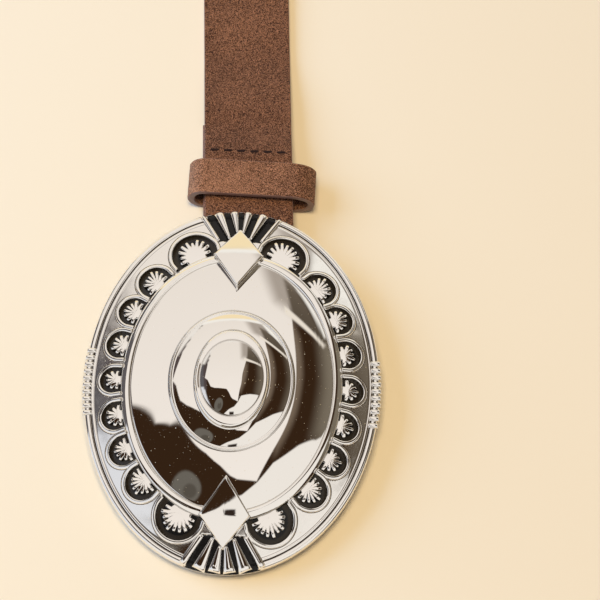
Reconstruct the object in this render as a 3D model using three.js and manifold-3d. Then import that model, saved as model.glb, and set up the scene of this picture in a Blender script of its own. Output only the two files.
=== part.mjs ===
// Concho belt, laid open and flat with its face up.
// Millimetres, +Z up. The strap runs along +Y, the table is Z = 0.
import * as THREE from 'three';
import Module from 'manifold-3d';

const wasm = await Module();
wasm.setup();

// Sizes that set the belt.
const strap = {
  width: 22.4,
  thickness: 2.3,
  reach: 962, // from the middle of the buckle to the tip
  overBuckle: 4.7, // how far the strap sits to the right of the buckle's middle
  underShift: -0.45, // the folded end peeps out on the left
  foldedEnd: 74, // where the folded end stops
  flatFrom: 97, // beyond this the strap lies on the table
  underClimb: 15, // the folded end climbs from the fold to the keeper over this length
  overClimb: 7.5, // and the upper layer over this one
  tipRound: 12.3, // length of the rounded tip
};
const buckle = {
  halfWidth: 36.4,
  halfLength: 46.2,
  crown: 11.6, // top of the dome above the rim
  rimHeight: 8.1, // face of the rim above the table, at the middle of the buckle
  tilt: 3.6, // degrees, the strap lifts the near end
  turn: -3.6, // degrees, the buckle lies a little clockwise
};
const keeper = {
  left: -10.9,
  right: 21.75,
  height: 10.4,
  wall: 1.8,
  length: 9.4, // along the belt
  middle: 55.5, // distance from the middle of the buckle
  roundLeft: 4.2,
  roundRight: 6.3,
  spare: 0.2, // extra room under the folded end
  margin: 1, // the strap lies level this far past the keeper
  turn: -4.2, // degrees
};
const bar = { radius: 1.1, halfLength: 17, station: 34.2, post: 2.4 };
const hook = { radius: 1.6, station: -31, reach: 6.5, width: 4.6, thickness: 1.8, taper: 2, offTable: 0.05 };
const clearance = 0.3; // between strap, keeper and bar
const sink = 0.8; // how deep a raised piece is rooted in the plate
const above = 3; // how far a cut reaches over the face

const TURN = Math.PI / 180;

// A closed solid from points and triangles.
function solidFrom(points, triangles) {
  return new wasm.Manifold(new wasm.Mesh({
    numProp: 3,
    vertProperties: Float32Array.from(points.flatMap((p) => [p.x, p.y, p.z])),
    triVerts: Uint32Array.from(triangles.flat()),
  }));
}

// Skin over a row of sections. Each section is a ring of points, counterclockwise about the direction of travel.
function loft(sections, closed = false) {
  const count = sections[0].length;
  const points = sections.flat();
  const triangles = [];
  const spans = closed ? sections.length : sections.length - 1;
  for (let i = 0; i < spans; i++) {
    const here = i * count;
    const next = ((i + 1) % sections.length) * count;
    for (let j = 0; j < count; j++) {
      const k = (j + 1) % count;
      triangles.push([here + j, here + k, next + k], [here + j, next + k, next + j]);
    }
  }
  if (!closed) {
    for (const [section, first, flip] of [[sections[0], 0, true], [sections.at(-1), points.length - count, false]]) {
      const middle = points.length;
      points.push(section.reduce((sum, p) => sum.add(p), new THREE.Vector3()).divideScalar(count));
      for (let j = 0; j < count; j++) {
        const k = (j + 1) % count;
        triangles.push(flip ? [middle, first + k, first + j] : [middle, first + j, first + k]);
      }
    }
  }
  return solidFrom(points, triangles);
}

// Upright prism over an outline of [x, y] points, from one height to another.
function prism(outline, low, high) {
  const flat = outline.map(([x, y]) => new THREE.Vector2(x, y));
  const count = flat.length;
  const points = [low, high].flatMap((z) => flat.map((p) => new THREE.Vector3(p.x, p.y, z)));
  const triangles = THREE.ShapeUtils.triangulateShape(flat, []).flatMap(([a, b, c]) => [
    [c, b, a],
    [a + count, b + count, c + count],
  ]);
  for (let j = 0; j < count; j++) {
    const k = (j + 1) % count;
    triangles.push([j, k, k + count], [j, k + count, j + count]);
  }
  return solidFrom(points, triangles);
}

// Flat band of leather: a rectangle carried along stations { at, along, side, half }.
// `along` is the direction of travel, `side` the direction of the width, `half` half the width.
function band(stations, thickness, closed = false) {
  return loft(stations.map(({ at, along, side, half }) => {
    const outward = side.clone().cross(along).multiplyScalar(thickness / 2);
    const across = side.clone().multiplyScalar(half);
    return [[1, -1], [1, 1], [-1, 1], [-1, -1]].map(([n, w]) => at.clone()
      .addScaledVector(outward, n)
      .addScaledVector(across, w));
  }), closed);
}

// Eased reading of a table of [position, value] rows whose positions rise.
function eased(rows, position) {
  const next = rows.findIndex(([at]) => at >= position);
  if (next === 0) return rows[0][1];
  if (next < 0) return rows.at(-1)[1];
  const [[from, start], [to, end]] = [rows[next - 1], rows[next]];
  return THREE.MathUtils.lerp(start, end, THREE.MathUtils.smoothstep(position, from, to));
}

// Even steps from one value to another, both ends in.
const steps = (from, to, count) => Array.from({ length: count + 1 }, (_, i) => from + ((to - from) * i) / count);

// Matrix of a frame lying on a slope: turned about Z, then leaning, then moved.
function placed(x, y, z, turn = 0, lean = 0) {
  return new THREE.Matrix4().makeTranslation(x, y, z)
    .multiply(new THREE.Matrix4().makeRotationZ(turn))
    .multiply(new THREE.Matrix4().makeRotationX(lean));
}
const moved = (solid, matrix) => solid.transform(matrix.elements);

// Strap

const layerStep = strap.thickness + clearance;
const foldRadius = bar.radius + clearance + strap.thickness / 2; // of the middle of the leather
const foldHeight = foldRadius + strap.thickness / 2 + clearance;
const foldStation = bar.station - 1.1;
const keeperFloor = keeper.wall + clearance + keeper.spare;
const onTable = strap.thickness / 2;
const levelTo = keeper.middle + keeper.length / 2 + keeper.margin;

// Height of the middle of the leather along the belt.
const UNDER_LAYER = [
  [foldStation, foldHeight - foldRadius],
  [foldStation + strap.underClimb, keeperFloor + onTable],
  [levelTo, keeperFloor + onTable],
  [strap.foldedEnd, onTable],
];
const UPPER_LAYER = [
  [foldStation, foldHeight + foldRadius],
  [foldStation + strap.overClimb, keeperFloor + onTable + layerStep],
  [levelTo, keeperFloor + onTable + layerStep],
  [strap.foldedEnd, onTable + layerStep],
  [strap.flatFrom, onTable],
];

function strapBody() {
  const path = [];
  for (const y of steps(strap.foldedEnd, foldStation, 12)) {
    path.push([strap.underShift, y, eased(UNDER_LAYER, y)]);
  }
  for (const turn of steps(-90, 90, 8).slice(1, -1)) {
    path.push([
      strap.underShift * (0.5 - turn / 180),
      foldStation - foldRadius * Math.cos(turn * TURN),
      foldHeight + foldRadius * Math.sin(turn * TURN),
    ]);
  }
  for (const y of steps(foldStation, strap.flatFrom, 20)) {
    path.push([0, y, eased(UPPER_LAYER, y)]);
  }
  const tipStart = strap.reach - strap.tipRound;
  path.push([0, tipStart, onTable]);
  const tip = steps(0, 1, 7).slice(1).map((share) => share * 0.985);
  for (const share of tip) path.push([0, tipStart + strap.tipRound * share, onTable]);

  const side = new THREE.Vector3(1, 0, 0);
  const at = path.map(([x, y, z]) => new THREE.Vector3(strap.overBuckle + x, y, z));
  const stations = at.map((point, i) => {
    const along = at[Math.min(i + 1, at.length - 1)].clone().sub(at[Math.max(i - 1, 0)]);
    along.x = 0;
    const share = tip[i - (at.length - tip.length)] ?? 0;
    return { at: point, along: along.normalize(), side, half: (strap.width / 2) * Math.sqrt(1 - share ** 2.6) };
  });
  return band(stations, strap.thickness);
}

// Punched holes for the hook.
const holes = { count: 5, pitch: 25.4, fromTip: 70, radius: 1.9 };
const circle = (radius, sides) => Array.from({ length: sides }, (_, i) => [
  radius * Math.cos((i / sides) * 2 * Math.PI),
  radius * Math.sin((i / sides) * 2 * Math.PI),
]);

function punchedStrap() {
  let body = strapBody();
  for (let i = 0; i < holes.count; i++) {
    const punch = prism(circle(holes.radius, 10), -sink, strap.thickness + sink);
    const station = strap.reach - holes.fromTip - i * holes.pitch;
    body = body.subtract(punch.translate([strap.overBuckle, station, 0]));
  }
  return body;
}

// Keeper: a loop with two straight runs and two rounded ends.

function keeperBody() {
  const half = { z: (keeper.height - keeper.wall) / 2 };
  const ends = [
    { x: keeper.right - keeper.roundRight, round: keeper.roundRight - keeper.wall / 2, from: -90 },
    { x: keeper.left + keeper.roundLeft, round: keeper.roundLeft - keeper.wall / 2, from: 90 },
  ];
  const path = ends.flatMap(({ x, round, from }) => steps(from, from + 180, 12).map((turn) => new THREE.Vector3(
    x + round * Math.cos(turn * TURN),
    0,
    keeper.height / 2 + half.z * Math.sin(turn * TURN),
  )));
  const side = new THREE.Vector3(0, 1, 0);
  const stations = path.map((at, i) => ({
    at,
    along: path[(i + 1) % path.length].clone().sub(path.at(i - 1)).normalize(),
    side,
    half: keeper.length / 2,
  }));
  const middle = (keeper.left + keeper.right) / 2;
  return band(stations, keeper.wall, true)
    .translate([-middle, 0, 0])
    .rotate([0, 0, keeper.turn])
    .translate([middle, keeper.middle, 0]);
}

// Buckle. Its own frame: origin in the middle, +Y towards the strap, Z = 0 on the face of the rim.

// Ellipses of the face from the rim to the top of the dome:
// [share of half width, share of half length, share of crown height]
const FACE = [
  [1, 1, -0.04],
  [0.984, 0.987, 0],
  [0.962, 0.97, 0],
  [0.955, 0.965, -0.026],
  [0.945, 0.957, 0.012],
  [0.925, 0.941, 0.026],
  [0.84, 0.845, 0.105],
  [0.742, 0.736, 0.207],
  [0.72, 0.718, 0.28],
  [0.69, 0.694, 0.341],
  [0.68, 0.684, 0.328],
  [0.593, 0.583, 0.459],
  [0.505, 0.482, 0.555],
  [0.418, 0.381, 0.616],
  [0.41, 0.374, 0.639],
  [0.4, 0.366, 0.62],
  [0.324, 0.315, 0.711],
  [0.247, 0.265, 0.772],
  [0.233, 0.25, 0.826],
  [0.216, 0.208, 0.812],
  [0.151, 0.144, 0.91],
  [0.086, 0.082, 0.972],
  [0.02, 0.02, 1],
];
// The hollow back, from its middle out to the foot of the rim.
const BACK = [
  [0.03, 0.03, 0.828],
  [0.2, 0.2, 0.655],
  [0.41, 0.37, 0.44],
  [0.55, 0.53, 0.336],
  [0.68, 0.67, 0.13],
  [0.8, 0.8, -0.026],
  [0.92, 0.935, -0.136],
  [0.935, 0.945, -0.229],
  [0.993, 0.994, -0.229],
];
const COLUMNS = 44;

function ellipse([width, length, height]) {
  return Array.from({ length: COLUMNS }, (_, i) => {
    const turn = (i / COLUMNS) * 2 * Math.PI;
    return new THREE.Vector3(
      buckle.halfWidth * width * Math.cos(turn),
      buckle.halfLength * length * Math.sin(turn),
      buckle.crown * height,
    );
  });
}

// Height of a table of ellipses over a point of the buckle.
function heightOver(table, x, y) {
  const reach = ([width, length]) => Math.hypot(x / (buckle.halfWidth * width), y / (buckle.halfLength * length));
  const inside = table.findIndex((row) => reach(row) > 1);
  if (inside === 0) return buckle.crown * table[0][2];
  if (inside < 0) return buckle.crown * table.at(-1)[2];
  const [outer, inner] = [table[inside - 1], table[inside]];
  const share = (1 - reach(outer)) / (reach(inner) - reach(outer));
  return buckle.crown * THREE.MathUtils.lerp(outer[2], inner[2], share);
}
const faceAt = (x, y) => heightOver(FACE, x, y);
const backAt = (x, y) => heightOver(BACK.toReversed(), x, y);

// Cups in one quarter, mirrored to the others:
// [share of half width, share of half length, radius as a share of half width, teeth]
const CUPS = [
  [0.301, 0.717, 0.156, 10],
  [0.558, 0.55, 0.114, 9],
  [0.695, 0.383, 0.099, 8],
  [0.766, 0.197, 0.095, 7],
  [0.8, 0, 0.088, 7],
];
const cup = {
  depth: 1, // of the floor under the border
  foot: 0.94, // half width at the inner ring, as a share of the radius
  lipWidth: 0.95,
  lipHeight: 0.45,
  sunHeight: 0.1, // over the border
  leanLength: 2.5, // the slope of the border is taken over this length
  sunRoot: 0.52, // radius between the teeth, as a share of the cup's radius
  sunTip: 0.76,
  sunReach: 100, // degrees either side of straight out that have teeth
  steps: 8, // round the cup
};
const ringRow = FACE[7];
const ring = new THREE.Vector2(ringRow[0] * buckle.halfWidth, ringRow[1] * buckle.halfLength);

// Frame of a cup: origin on the border, +Y straight out from the inner ring, leaning with the border.
// `back` is the way from the origin to the foot of the ring.
function cupFrame(x, y) {
  const out = new THREE.Vector2(x / ring.x ** 2, y / ring.y ** 2).normalize();
  const rise = (faceAt(x + out.x * cup.leanLength, y + out.y * cup.leanLength) - faceAt(x, y)) / cup.leanLength;
  const a = (out.x / ring.x) ** 2 + (out.y / ring.y) ** 2;
  const b = (x * out.x) / ring.x ** 2 + (y * out.y) / ring.y ** 2;
  const c = (x / ring.x) ** 2 + (y / ring.y) ** 2 - 1;
  const back = (b - Math.sqrt(b * b - a * c)) / a;
  return { back, matrix: placed(x, y, faceAt(x, y), Math.atan2(-out.x, out.y), Math.atan(rise)) };
}

// Outline of a cup, grown outward by `grow`: a half circle with a leg to the inner ring at each end.
function cupOutline(radius, back, grow = 0) {
  const size = radius + grow;
  const foot = radius * cup.foot + grow;
  const arc = steps(-90, 90, cup.steps).map((turn) => [-size * Math.sin(turn * TURN), size * Math.cos(turn * TURN)]);
  return [[foot, -back], ...arc, [-foot, -back]];
}

// Half sun with blunt teeth, its flat side on the inner ring.
function sunOutline(radius, back, teeth) {
  const root = radius * cup.sunRoot;
  const tip = radius * cup.sunTip;
  const pitch = (2 * cup.sunReach) / teeth;
  const outline = [];
  for (let i = 0; i < teeth; i++) {
    const middle = -cup.sunReach + pitch * (i + 0.5);
    for (const [share, size] of [[-0.5, root], [-0.22, tip], [0.22, tip]]) {
      const turn = (middle + pitch * share) * TURN;
      outline.push([-size * Math.sin(turn), size * Math.cos(turn)]);
    }
  }
  const rooted = back + sink / 2;
  return [...outline, [-root, -rooted], [root, -rooted]];
}

// Raised lip round the outside of a cup.
function lip(radius, back) {
  const profile = [[0, cup.lipHeight], [cup.lipWidth * 0.7, cup.lipHeight], [cup.lipWidth, -sink], [0, -sink]];
  const outlines = profile.map(([grow, up]) => cupOutline(radius, back, grow).map(([x, y]) => (
    new THREE.Vector3(x, y, up))));
  return loft(outlines[0].map((_, i) => outlines.map((outline) => outline[i])));
}

function cups() {
  const parts = { pockets: [], suns: [], lips: [] };
  for (const [width, length, size, teeth] of CUPS) {
    const radius = size * buckle.halfWidth;
    for (const [left, up] of length ? [[1, 1], [1, -1], [-1, 1], [-1, -1]] : [[1, 1], [-1, 1]]) {
      const { back, matrix } = cupFrame(left * width * buckle.halfWidth, up * length * buckle.halfLength);
      const sun = prism(sunOutline(radius, back, teeth), -cup.depth - sink / 2, cup.sunHeight);
      parts.pockets.push(moved(prism(cupOutline(radius, back), -cup.depth, above), matrix));
      parts.suns.push(moved(sun, matrix));
      parts.lips.push(moved(lip(radius, back), matrix));
    }
  }
  return parts;
}

// Diamonds: kites across the inner ring, pointing at the rim.
const diamond = {
  outer: 0.886, // shares of the buckle's half length
  inner: 0.514,
  broad: 0.711,
  halfWidth: 0.174, // share of the buckle's half width
  bevel: 0.75,
  outerRise: 0.3, // over the face
  broadRise: 1.9,
  innerRise: 1.2,
};

function diamondBody(up) {
  const [outer, inner, broad] = [diamond.outer, diamond.inner, diamond.broad].map((share) => share * buckle.halfLength);
  const side = diamond.halfWidth * buckle.halfWidth;
  const ringAt = (inset, share) => {
    const points = [
      [side - inset, broad, diamond.broadRise],
      [0, outer - inset * 1.5, diamond.outerRise],
      [-side + inset, broad, diamond.broadRise],
      [0, inner + inset * 1.5, diamond.innerRise],
    ].map(([x, y, rise]) => new THREE.Vector3(x, up * y, faceAt(x, y) + (share === 0 ? -cup.depth - sink : rise * share)));
    return up > 0 ? points : points.reverse();
  };
  return loft([ringAt(0, 0), ringAt(0, 0.6), ringAt(diamond.bevel, 1)]);
}

// Fans of ribs between each diamond and the rim.
// Grooves: [inner x, inner y, outer x, outer y], distances from the middle of the buckle as shares of its halves.
const GROOVES = [
  [0, 0.888, 0, 1.02],
  [0.055, 0.86, 0.106, 1.015],
  [0.108, 0.83, 0.214, 0.99],
];
const STRIP = [0.148, 0.795, 0.266, 0.972];
const fan = { grooveIn: 0.35, grooveOut: 0.65, depth: 0.8, strip: 0.6, stripHeight: 0.55 };

// Tapering bar between two points of the face, `low` and `high` over the face.
function spoke([fromX, fromY, toX, toY], left, up, halfIn, halfOut, low, high) {
  const start = new THREE.Vector2(left * fromX * buckle.halfWidth, up * fromY * buckle.halfLength);
  const end = new THREE.Vector2(left * toX * buckle.halfWidth, up * toY * buckle.halfLength);
  const side = end.clone().sub(start).normalize().rotateAround(new THREE.Vector2(), Math.PI / 2);
  const section = (point, half) => {
    const height = faceAt(point.x, point.y);
    return [[1, low], [1, high], [-1, high], [-1, low]].map(([sign, z]) => new THREE.Vector3(
      point.x + side.x * half * sign,
      point.y + side.y * half * sign,
      height + z,
    ));
  };
  return loft([section(start, halfIn), section(end, halfOut)]);
}

function fans() {
  const grooves = [];
  const strips = [];
  for (const up of [1, -1]) {
    for (const left of [1, -1]) {
      for (const groove of GROOVES) {
        if (groove[0] > 0 || left > 0) {
          grooves.push(spoke(groove, left, up, fan.grooveIn, fan.grooveOut, -fan.depth, above));
        }
      }
      strips.push(spoke(STRIP, left, up, fan.strip, fan.strip, -sink, fan.stripHeight));
    }
  }
  return { grooves, strips };
}

// Reeding: short bars across the rim at both sides.
const reeding = { count: 9, pitch: 1.95, width: 1.05, inner: 0.955, proud: 0.4, low: -1.6, high: 0.3 };

function reedingBars() {
  const bars = [];
  for (const left of [1, -1]) {
    for (let i = 0; i < reeding.count; i++) {
      const y = (i - (reeding.count - 1) / 2) * reeding.pitch;
      const edge = buckle.halfWidth * Math.sqrt(1 - (y / buckle.halfLength) ** 2);
      const near = left * (edge - buckle.halfWidth * (1 - reeding.inner));
      const far = left * (edge + reeding.proud);
      const [from, to] = [Math.min(near, far), Math.max(near, far)];
      const half = reeding.width / 2;
      bars.push(prism([[from, y - half], [to, y - half], [to, y + half], [from, y + half]], reeding.low, reeding.high));
    }
  }
  return bars;
}

// Height in the buckle's frame of a place that many millimetres above the table.
const overTable = (y, height) => (height - buckle.rimHeight - y * Math.sin(buckle.tilt * TURN))
  / Math.cos(buckle.tilt * TURN);

// Bar for the strap on two posts, behind the buckle. It runs through the middle of the strap's fold.
function strapBar() {
  const middle = overTable(bar.station, foldHeight);
  const rod = loft([-bar.halfLength, bar.halfLength].map((x) => circle(bar.radius, 12).map(([a, b]) => (
    new THREE.Vector3(x, bar.station + a, middle + b)
  ))));
  const half = bar.post / 2;
  const posts = [-1, 1].map((left) => {
    const x = left * (bar.halfLength - half);
    const outline = [[-1, -1], [1, -1], [1, 1], [-1, 1]].map(([a, b]) => [x + a * half, bar.station + b * half]);
    return prism(outline, middle - bar.radius, backAt(x, bar.station) + sink);
  });
  return [rod, ...posts];
}

// Hook for the punched end: a post from the hollow back, and a prong towards the middle of the buckle.
function hookBody() {
  const low = overTable(hook.station - hook.radius, hook.offTable);
  const outline = circle(hook.radius, 12).map(([x, y]) => [x, hook.station + y]);
  const post = prism(outline, low, backAt(0, hook.station) + sink);
  const half = hook.width / 2;
  const [from, to] = [hook.station - hook.radius, hook.station + hook.reach];
  const prong = prism(
    [[-half * 0.7, from], [half * 0.7, from], [half, from + hook.taper], [half, to - hook.taper], [half * 0.6, to],
      [-half * 0.6, to], [-half, to - hook.taper], [-half, from + hook.taper]],
    low,
    low + hook.thickness,
  );
  return [post, prong];
}

function buckleBody() {
  const plate = loft([...BACK, ...FACE].map(ellipse));
  const { pockets, suns, lips } = cups();
  const { grooves, strips } = fans();
  const { union } = wasm.Manifold;
  return union([plate, ...lips, ...strips])
    .subtract(union(pockets))
    .add(union([...suns, ...reedingBars(), diamondBody(1), diamondBody(-1)]))
    .subtract(union(grooves))
    .add(union([...strapBar(), ...hookBody()]));
}

// Meshes

function named(name, solid, material) {
  const { vertProperties, triVerts } = solid.getMesh();
  const geometry = new THREE.BufferGeometry();
  geometry.setAttribute('position', new THREE.BufferAttribute(vertProperties, 3));
  geometry.setIndex(new THREE.BufferAttribute(triVerts, 1));
  const mesh = new THREE.Mesh(geometry.toNonIndexed(), material);
  mesh.geometry.computeVertexNormals();
  mesh.name = name;
  return mesh;
}

const suede = new THREE.MeshStandardMaterial({ name: 'brown_suede', color: 0x6b4a3c, roughness: 0.95 });
const chrome = new THREE.MeshStandardMaterial({ name: 'chrome', color: 0xd8d6d2, roughness: 0.08, metalness: 1 });

const belt = new THREE.Group();
belt.name = 'concho_belt';
belt.add(named('strap', punchedStrap(), suede));
belt.add(named('keeper', keeperBody(), suede));
const buckleMesh = named('buckle', buckleBody(), chrome);
buckleMesh.position.z = buckle.rimHeight;
buckleMesh.rotation.set(buckle.tilt * TURN, 0, buckle.turn * TURN, 'ZXY');
belt.add(buckleMesh);

// The origin goes to the bottom centre of the whole belt.
const extent = new THREE.Box3().setFromObject(belt, true);
const centre = extent.getCenter(new THREE.Vector3());
for (const piece of belt.children) {
  piece.position.x -= centre.x;
  piece.position.y -= centre.y;
  piece.position.z -= extent.min.z;
}

export default belt;
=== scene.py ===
"""Looks of a suede belt with one oval concho buckle, laid open and flat, face up.

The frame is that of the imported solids: metres, the strap along +Y, the table at Z = 0. Sizes below are in
millimetres.
"""
import math

import bpy
import numpy as np
from mathutils import Matrix


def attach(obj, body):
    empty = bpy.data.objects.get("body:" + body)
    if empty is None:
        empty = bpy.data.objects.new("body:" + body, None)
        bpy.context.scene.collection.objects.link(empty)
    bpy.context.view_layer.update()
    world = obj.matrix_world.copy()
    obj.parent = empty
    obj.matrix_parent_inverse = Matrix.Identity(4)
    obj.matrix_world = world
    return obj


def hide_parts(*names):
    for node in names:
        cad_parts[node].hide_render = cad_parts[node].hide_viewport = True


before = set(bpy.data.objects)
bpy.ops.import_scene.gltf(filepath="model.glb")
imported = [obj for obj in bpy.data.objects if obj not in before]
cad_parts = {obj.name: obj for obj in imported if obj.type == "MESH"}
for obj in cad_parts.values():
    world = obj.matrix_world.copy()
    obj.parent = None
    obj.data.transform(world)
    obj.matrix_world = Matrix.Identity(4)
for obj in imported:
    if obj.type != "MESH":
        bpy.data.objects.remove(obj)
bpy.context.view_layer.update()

MM = 0.001

# The belt as it lies. Places along the strap count from the middle of the buckle.
BUCKLE_AT = (-0.0026, -457.9215)
STRAP_WIDTH = 22.4
LEATHER = 2.3
STRAP_CENTRE = 4.7
STRAP_REACH = 961.8
UNDER_SHIFT = -0.45
CLEARANCE = 0.3

# The buckle. Its own frame has +Y towards the strap and Z = 0 on the face of the rim.
HALF_WIDTH = 36.4
HALF_LENGTH = 46.2
CROWN = 11.6
RIM_HEIGHT = 8.1
TILT = math.radians(3.6)
TURN = math.radians(-3.6)
COLUMNS = 490

# Ellipses of the face from the rim in to the dome: shares of half width, half length and crown. Then the span to
# the next one: how much it bulges, how high it humps as a share of the crown, and how many rows it takes.
FACE = [
    (1.000, 1.000, -0.060, 0.0, 0.000, 2),
    (0.994, 0.995, -0.018, 0.0, 0.000, 1),
    (0.984, 0.987, 0.000, 0.0, 0.009, 7),
    (0.960, 0.969, 0.000, 0.0, 0.000, 2),
    (0.954, 0.963, -0.025, 0.0, 0.000, 2),
    (0.948, 0.958, 0.002, 0.0, 0.005, 4),
    (0.930, 0.945, 0.014, 0.0, 0.000, 2),
    (0.922, 0.938, 0.024, 0.06, 0.000, 44),
    (0.742, 0.736, 0.260, 0.9, 0.000, 14),
    (0.690, 0.694, 0.352, 0.0, 0.000, 1),
    (0.686, 0.690, 0.338, 0.0, 0.000, 2),
    (0.682, 0.686, 0.318, 0.0, 0.000, 1),
    (0.678, 0.682, 0.326, 0.54, 0.000, 34),
    (0.418, 0.381, 0.616, 0.0, 0.020, 7),
    (0.400, 0.366, 0.620, 0.48, 0.000, 18),
    (0.247, 0.265, 0.772, 0.6, 0.000, 4),
    (0.235, 0.251, 0.818, 0.0, 0.000, 2),
    (0.229, 0.240, 0.822, 0.0, 0.000, 5),
    (0.216, 0.208, 0.812, 0.84, 0.000, 24),
    (0.004, 0.004, 1.000, 0.0, 0.000, 0),
]
# The hollow back from its middle out to the foot of the rim, the same columns.
BACK = [
    (0.004, 0.004, 0.828, -0.5, 0.0, 6),
    (0.410, 0.370, 0.440, -0.3, 0.0, 6),
    (0.680, 0.670, 0.130, -0.3, 0.0, 4),
    (0.920, 0.935, -0.136, 0.0, 0.0, 2),
    (0.935, 0.945, -0.229, 0.0, 0.0, 2),
    (0.990, 0.992, -0.229, 0.0, 0.0, 1),
    (1.000, 1.000, -0.212, 0.0, 0.0, 3),
    (1.000, 1.000, -0.060, 0.0, 0.0, 0),
]
RING = 8  # row of FACE at the foot of the inner ring
DISH = 12  # row of FACE at the dish's edge
DISH_LEFT = 0.55  # how much less the dish bulges on the left
MID = 14  # row of FACE at the foot of the middle step
MID_LOWER = 0.25  # how much less the middle step bulges below
MID_SINK = 0.35  # millimetres that its inner edge sinks below
MID_LOWEST = math.radians(252)  # where round the oval it sinks most
# Where the border is steeper: degrees round the oval, millimetres at the ring, degrees it reaches.
STEEPER = [(46.0, 0.9, 26.0), (222.0, 0.95, 30.0)]

# Painted shade in the creases, dark lines in the mirror metal: row of FACE, how dark, how many rows it takes up on each
# side.
CREASE_SHADES = [(4, 1.0, 1), (6, 0.5, 0), (8, 0.7, 0), (11, 0.6, 0), (13, 0.5, 0), (15, 0.6, 0), (18, 0.5, 0)]

# Cups in one quarter: shares of half width and half length, radius as a share of half width, teeth of the sun.
CUPS = [
    (0.301, 0.717, 0.156, 10),
    (0.558, 0.550, 0.114, 9),
    (0.695, 0.383, 0.099, 8),
    (0.766, 0.197, 0.095, 7),
    (0.800, 0.000, 0.088, 7),
]
CUP_FOOT = 0.94
CUP_DEPTH = 1.0
CUP_UNDER_LIP = 0.38  # how far the cup's floor runs on under its lip
ENAMEL_SHEEN = 1.1  # width of the painted sheen, paler enamel along a cup's wall
LIP_WIDTH = 0.95
LIP_HEIGHT = 0.42

rng = np.random.default_rng(7)


def spread(table):
    """Rows of [half width, half length, height] in millimetres for a table of ellipses: along each span the two
    halves go straight, the height follows (1 + bulge) s - bulge s squared, plus hump times 4 s (1 - s)."""
    rows = []
    for here, there in zip(table, table[1:]):
        s = np.arange(here[5]) / here[5]
        rise = (1 + here[3]) * s - here[3] * s**2
        height = here[2] + (there[2] - here[2]) * rise + here[4] * 4 * s * (1 - s)
        rows.append(np.stack([
            HALF_WIDTH * (here[0] + (there[0] - here[0]) * s),
            HALF_LENGTH * (here[1] + (there[1] - here[1]) * s),
            CROWN * height,
        ], 1))
    last = table[-1]
    rows.append(np.array([[HALF_WIDTH * last[0], HALF_LENGTH * last[1], CROWN * last[2]]]))
    return np.concatenate(rows)


FACE_ROWS = spread(FACE)
FACE_STARTS = np.cumsum([0] + [row[5] for row in FACE])


def corner_lift(index, x, y):
    """Extra height of the border near the ring at the corners of STEEPER, falling off round the oval as a bell curve
    and along the border down to the rim and over the ring's band."""
    angle = np.arctan2(y / HALF_LENGTH, x / HALF_WIDTH)
    run = np.interp(index, FACE_STARTS[RING - 1:RING + 2], [0.0, 1.0, 0.0])
    lift = 0.0
    for at, height, width in STEEPER:
        away = np.remainder(angle - math.radians(at) + math.pi, 2 * math.pi) - math.pi
        lift = lift + height * np.exp(-(away / math.radians(width)) ** 2)
    return lift * run


def face_height(x, y):
    """Height of the plain face over a point: the ellipse through it is found by halving, and its height read."""
    x, y = np.broadcast_arrays(np.asarray(x, float), np.asarray(y, float))
    index = np.arange(len(FACE_ROWS))
    low, high = np.zeros(x.shape), np.full(x.shape, len(FACE_ROWS) - 1.0)
    for _ in range(24):
        middle = (low + high) / 2
        inside = (x / np.interp(middle, index, FACE_ROWS[:, 0])) ** 2 + (
            y / np.interp(middle, index, FACE_ROWS[:, 1])) ** 2 < 1
        low, high = np.where(inside, middle, low), np.where(inside, high, middle)
    return np.interp((low + high) / 2, index, FACE_ROWS[:, 2]) + corner_lift((low + high) / 2, x, y)


def from_buckle(points):
    """Points of the buckle's frame put where the buckle lies: leant about X, turned about Z, lifted, moved."""
    x, y, z = np.moveaxis(np.asarray(points, float), -1, 0)
    y, z = y * math.cos(TILT) - z * math.sin(TILT), y * math.sin(TILT) + z * math.cos(TILT)
    x, y = x * math.cos(TURN) - y * math.sin(TURN), x * math.sin(TURN) + y * math.cos(TURN)
    return np.stack([x + BUCKLE_AT[0], y + BUCKLE_AT[1], z + RIM_HEIGHT], -1)


def from_belt(points):
    """Points counted from the middle of the buckle along the strap, put in the frame of the solids."""
    return np.asarray(points, float) + np.array([BUCKLE_AT[0], BUCKLE_AT[1], 0.0])


def mesh_object(name, vertices, faces, materials, smooth=True):
    """A mesh of points in millimetres and faces, turned inside out if its volume comes out negative."""
    vertices = np.asarray(vertices, float) * MM
    mesh = bpy.data.meshes.new(name)
    quads, triangles = faces
    corners = np.concatenate([quads.ravel(), triangles.ravel()]).astype(np.int32)
    sizes = np.concatenate([np.full(len(quads), 4), np.full(len(triangles), 3)]).astype(np.int32)
    tri = np.concatenate([quads[:, [0, 1, 2]], quads[:, [0, 2, 3]], triangles]).reshape(-1, 3)
    middle = vertices.mean(0)
    a, b, c = (vertices[tri[:, i]] - middle for i in range(3))
    flip = np.einsum("ij,ij->i", a, np.cross(b, c)).sum() < 0
    mesh.vertices.add(len(vertices))
    mesh.vertices.foreach_set("co", vertices.astype(np.float32).ravel())
    mesh.loops.add(len(corners))
    mesh.loops.foreach_set("vertex_index", corners)
    mesh.polygons.add(len(sizes))
    mesh.polygons.foreach_set("loop_start", (np.cumsum(sizes) - sizes).astype(np.int32))
    mesh.update(calc_edges=True)
    mesh.validate()
    if flip:
        mesh.flip_normals()
    mesh.polygons.foreach_set("use_smooth", np.full(len(mesh.polygons), smooth))
    for material in materials:
        mesh.materials.append(material)
    obj = bpy.data.objects.new(name, mesh)
    bpy.context.scene.collection.objects.link(obj)
    return obj


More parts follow.
